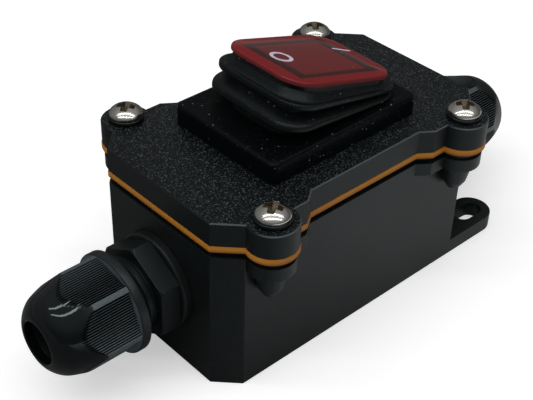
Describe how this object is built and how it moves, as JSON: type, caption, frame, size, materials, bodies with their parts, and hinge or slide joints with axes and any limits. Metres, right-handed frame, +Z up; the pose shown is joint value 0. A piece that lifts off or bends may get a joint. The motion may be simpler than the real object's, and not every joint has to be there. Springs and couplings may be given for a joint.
{
  "type": "weatherproof inline rocker switch",
  "caption": "Black weatherproof box with a lit red rocker switch under a bellows boot, an orange lid gasket and a cable gland at each end.",
  "frame": {"origin": "centre of the flat base, on the surface it stands on", "axes": "+X along the cable glands towards the I end, +Z up out of the lid, -Y towards the long side seen in front"},
  "size_m": [0.147, 0.0618, 0.0646],
  "materials": {
    "box_plastic": "satin moulded, fine grain",
    "lid_plastic": "spark-eroded grain on top, satin sides",
    "orange_silicone": "satin",
    "screw_steel": "bright nickel",
    "washer_rubber": "satin",
    "switch_plastic": "moulded",
    "boot_silicone": "matt",
    "red_lens": "clear gloss",
    "lamp_glass": "clear",
    "resistor_ceramic": "lacquered",
    "gland_nylon": "gloss dome, satin flats",
    "seal_rubber": "satin",
    "plunger_acetal": "smooth",
    "spring_steel": "drawn wire",
    "contact_copper": "bare copper",
    "terminal_brass": "tinned"
  },
  "bodies": {
    "root": {"base_housing": "box_plastic", "lid": "lid_plastic", "lid_gasket": "orange_silicone", "lid_screws": "screw_steel", "screw_washers": "washer_rubber", "switch_housing": "switch_plastic", "rubber_boot": "boot_silicone", "gland_body_left": "gland_nylon", "gland_washer_left": "washer_rubber", "gland_locknut_left": "gland_nylon", "gland_body_right": "gland_nylon", "gland_washer_right": "washer_rubber", "gland_locknut_right": "gland_nylon", "line_terminal_a": "terminal_brass", "load_terminal_a": "terminal_brass", "line_terminal_b": "terminal_brass", "load_terminal_b": "terminal_brass"},
    "rocker": {"rocker_cap": "red_lens", "rocker_lever": "switch_plastic", "neon_lamp": "lamp_glass", "lamp_resistor": "resistor_ceramic", "plunger_spring_a": "spring_steel", "plunger_spring_b": "spring_steel"},
    "contact_a": {"contact_lever_a": "contact_copper"},
    "plunger_a": {"plunger_a": "plunger_acetal"},
    "contact_b": {"contact_lever_b": "contact_copper"},
    "plunger_b": {"plunger_b": "plunger_acetal"},
    "left_seal": {"gland_seal_left": "seal_rubber"},
    "left_nut": {"gland_nut_left": "gland_nylon"},
    "right_seal": {"gland_seal_right": "seal_rubber"},
    "right_nut": {"gland_nut_right": "gland_nylon"}
  },
  "joints": [
    {"name": "rocker_tilt", "type": "hinge", "parent": "root", "child": "rocker", "pos_m": [0, 0, 0.0469], "axis": [0, 1, 0], "range_deg": [-32.6, 0], "deforming": ["rubber_boot"]},
    {"name": "contact_a_rock", "type": "hinge", "parent": "root", "child": "contact_a", "pos_m": [0, 0.0062, 0.0272], "axis": [0, 1, 0], "range_deg": [0, 10]},
    {"name": "plunger_a_travel", "type": "slide", "parent": "rocker", "child": "plunger_a", "axis": [0.2807, 0, 0.9598], "range_m": [0, 0.0008], "stiffness_N_per_m": 300, "springref_m": -0.004, "deforming": ["plunger_spring_a"]},
    {"name": "contact_b_rock", "type": "hinge", "parent": "root", "child": "contact_b", "pos_m": [0, -0.0062, 0.0272], "axis": [0, 1, 0], "range_deg": [0, 10]},
    {"name": "plunger_b_travel", "type": "slide", "parent": "rocker", "child": "plunger_b", "axis": [0.2807, 0, 0.9598], "range_m": [0, 0.0008], "stiffness_N_per_m": 300, "springref_m": -0.004, "deforming": ["plunger_spring_b"]},
    {"name": "left_seal_travel", "type": "slide", "parent": "root", "child": "left_seal", "axis": [-1, 0, 0], "range_m": [0, 0.0045]},
    {"name": "left_nut_turn", "type": "hinge", "parent": "left_seal", "child": "left_nut", "pos_m": [-0.0656, 0, 0.0198], "axis": [-1, 0, 0], "range_deg": [0, 1080]},
    {"name": "right_seal_travel", "type": "slide", "parent": "root", "child": "right_seal", "axis": [1, 0, 0], "range_m": [0, 0.0045]},
    {"name": "right_nut_turn", "type": "hinge", "parent": "right_seal", "child": "right_nut", "pos_m": [0.0656, 0, 0.0198], "axis": [1, 0, 0], "range_deg": [0, 1080]}
  ],
  "couplings": [
    {"joint": "contact_a_rock", "follows": "rocker_tilt", "ratio": -0.3067},
    {"joint": "contact_b_rock", "follows": "rocker_tilt", "ratio": -0.3067},
    {"joint": "left_nut_turn", "follows": "left_seal_travel", "rad_per_m": 4188.8},
    {"joint": "right_nut_turn", "follows": "right_seal_travel", "rad_per_m": 4188.8}
  ]
}
